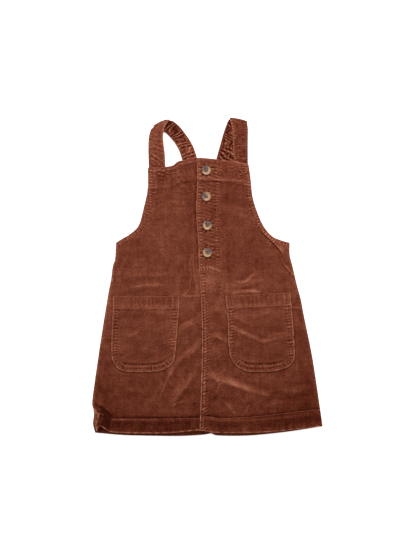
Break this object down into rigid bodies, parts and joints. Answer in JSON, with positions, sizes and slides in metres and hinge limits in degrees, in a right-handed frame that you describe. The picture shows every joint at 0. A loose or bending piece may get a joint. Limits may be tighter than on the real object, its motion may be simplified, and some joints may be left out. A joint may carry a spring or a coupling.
{
  "type": "pinafore dress",
  "caption": "Child's corduroy pinafore dress laid flat, with a buttoned bib, patch pockets, an A-line skirt and straps folded over at the top.",
  "frame": {"origin": "middle of the footprint, on the surface that the dress lies on", "axes": "+Y from the hem to the straps, +X to the right as the front is seen from above, +Z away from the surface"},
  "size_m": [0.3773, 0.5213, 0.0132],
  "materials": {
    "corduroy": "fine-wale cotton corduroy, matt with a soft nap",
    "corduroy_strap": "fine-wale cotton corduroy, doubled and topstitched",
    "horn": "horn-effect, satin, mottled cream and grey-brown"
  },
  "bodies": {
    "root": {"front_left": "corduroy", "front_right": "corduroy", "back_left": "corduroy", "back_right": "corduroy", "pocket_left": "corduroy", "pocket_right": "corduroy", "strap_left": "corduroy_strap", "strap_right": "corduroy_strap", "button_1": "horn", "button_2": "horn", "button_3": "horn", "button_4": "horn"}
  },
  "joints": []
}
